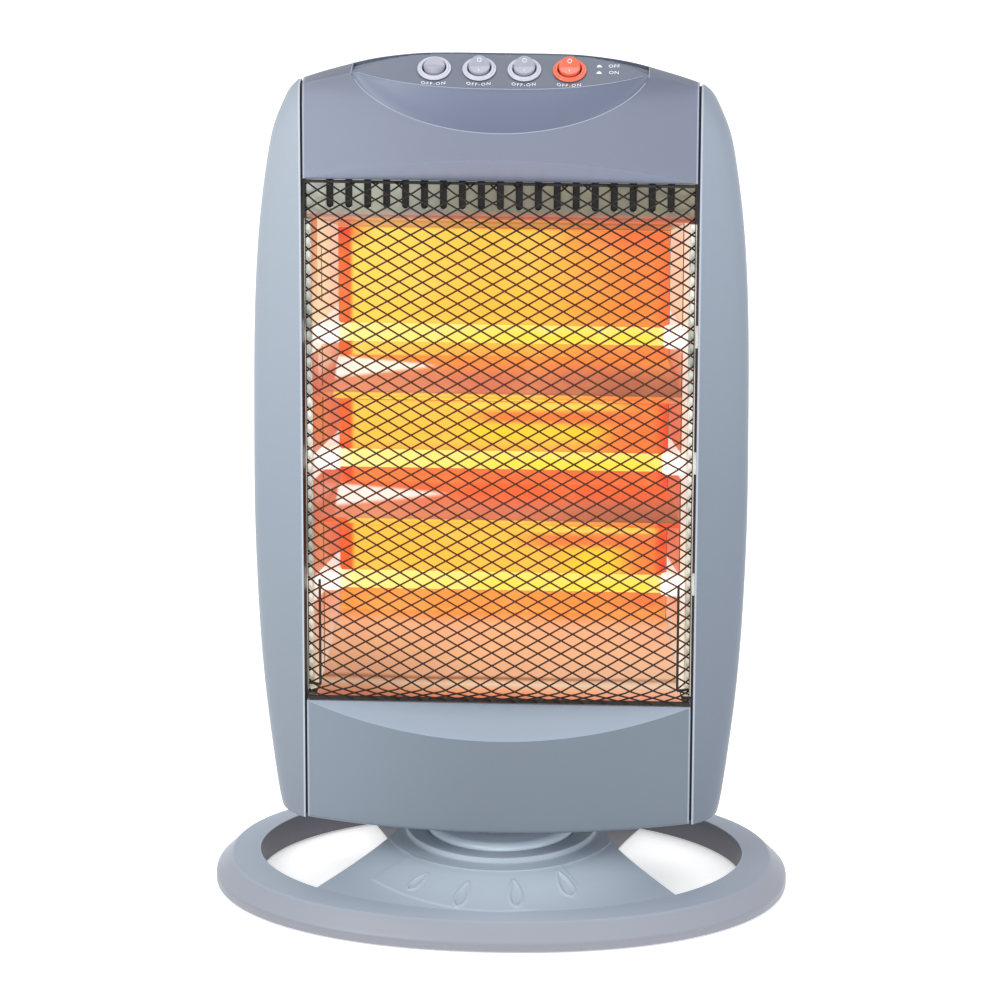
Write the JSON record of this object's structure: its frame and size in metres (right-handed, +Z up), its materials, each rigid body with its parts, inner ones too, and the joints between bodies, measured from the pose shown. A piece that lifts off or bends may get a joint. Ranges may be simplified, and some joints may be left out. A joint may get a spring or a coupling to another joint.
{
  "type": "halogen heater",
  "caption": "Free-standing oscillating halogen heater: bowed grey casing, wire-mesh window over horizontal tubes and a trough reflector, rocker switches on top, oval base with openings.",
  "frame": {"origin": "centre of the footprint, on the floor under the neck", "axes": "+Z up, the window faces -Y, +X to the right when looking at the front"},
  "size_m": [0.3468, 0.236, 0.5249],
  "materials": {
    "casing": "fine satin moulding, blue grey",
    "collar": "satin moulding, pale blue grey",
    "dark_plastic": "dark moulding",
    "natural_plastic": "natural nylon",
    "switch_grey": "light grey gloss",
    "switch_orange": "translucent orange gloss",
    "guard_wire": "black brown coated wire",
    "reflector_sheet": "polished aluminium, lit by the tubes",
    "sheet_steel": "plain zinc plated sheet",
    "fastener": "zinc plated",
    "quartz": "clear quartz, glowing",
    "filament": "glowing coil",
    "ceramic": "unglazed white",
    "rubber": "matt black",
    "motor_can": "pressed can"
  },
  "bodies": {
    "base": {"base_cover": "casing", "base_underplate": "dark_plastic", "swivel_bush": "natural_plastic", "anchor_post": "sheet_steel", "anchor_arm": "sheet_steel", "tip_switch_body": "dark_plastic", "foot_1": "rubber", "foot_2": "rubber", "foot_3": "rubber", "foot_4": "rubber", "base_screw_1": "fastener", "base_screw_2": "fastener", "base_screw_3": "fastener", "base_screw_4": "fastener"},
    "head": {"front_top_cover": "casing", "front_bottom_cover": "casing", "side_cover_left": "casing", "side_cover_right": "casing", "rear_cover": "casing", "guard_grille": "guard_wire", "reflector": "reflector_sheet", "tube_bracket_left": "reflector_sheet", "tube_bracket_right": "reflector_sheet", "heat_shield": "sheet_steel", "head_floor": "sheet_steel", "neck_tube": "sheet_steel", "neck_nut": "fastener", "swivel_collar": "collar", "retaining_ring": "fastener", "oscillation_motor": "motor_can", "thermal_cutout": "motor_can", "terminal_block": "natural_plastic", "cord_inlet_bush": "rubber", "quartz_tube_1": "quartz", "quartz_tube_2": "quartz", "quartz_tube_3": "quartz", "filament_1": "filament", "filament_2": "filament", "filament_3": "filament", "ceramic_cap_left_1": "ceramic", "ceramic_cap_left_2": "ceramic", "ceramic_cap_left_3": "ceramic", "ceramic_cap_right_1": "ceramic", "ceramic_cap_right_2": "ceramic", "ceramic_cap_right_3": "ceramic", "switch_housing_1": "switch_grey", "switch_housing_2": "switch_grey", "switch_housing_3": "switch_grey", "switch_housing_4": "switch_orange", "rear_screw_1": "fastener", "rear_screw_2": "fastener", "rear_screw_3": "fastener", "rear_screw_4": "fastener"},
    "crank": {"crank": "natural_plastic"},
    "link": {"link_arm": "natural_plastic"},
    "rocker_1": {"switch_rocker_1": "switch_grey"},
    "rocker_2": {"switch_rocker_2": "switch_grey"},
    "rocker_3": {"switch_rocker_3": "switch_grey"},
    "rocker_4": {"switch_rocker_4": "switch_orange"},
    "plunger": {"tip_plunger": "natural_plastic"}
  },
  "joints": [
    {"name": "head_swivel", "type": "hinge", "parent": "base", "child": "head", "pos_m": [0, 0, 0.03], "axis": [0, 0, 1], "range_deg": [-35, 35]},
    {"name": "crank_spin", "type": "hinge", "parent": "head", "child": "crank", "pos_m": [-0.036, -0.02, 0.08], "axis": [0, 0, 1], "continuous": true},
    {"name": "link_pivot", "type": "hinge", "parent": "crank", "child": "link", "pos_m": [-0.036, -0.009, 0.075], "axis": [0, 0, 1], "continuous": true},
    {"name": "oscillation_switch", "type": "hinge", "parent": "head", "child": "rocker_1", "pos_m": [-0.0383, -0.03629, 0.51629], "axis": [1, 0, 0], "range_deg": [0, 26]},
    {"name": "power_switch_a", "type": "hinge", "parent": "head", "child": "rocker_2", "pos_m": [-0.0123, -0.03629, 0.51629], "axis": [1, 0, 0], "range_deg": [-26, 0]},
    {"name": "power_switch_b", "type": "hinge", "parent": "head", "child": "rocker_3", "pos_m": [0.0137, -0.03629, 0.51629], "axis": [1, 0, 0], "range_deg": [-26, 0]},
    {"name": "main_switch", "type": "hinge", "parent": "head", "child": "rocker_4", "pos_m": [0.0397, -0.03629, 0.51629], "axis": [1, 0, 0], "range_deg": [-26, 0]},
    {"name": "tip_plunger_slide", "type": "slide", "parent": "base", "child": "plunger", "axis": [0, 0, 1], "range_m": [-0.004, 0], "stiffness_N_per_m": 120, "springref_m": -0.004}
  ],
  "couplings": [
    {"joint": "link_pivot", "follows": "crank_spin", "ratio": -1}
  ]
}
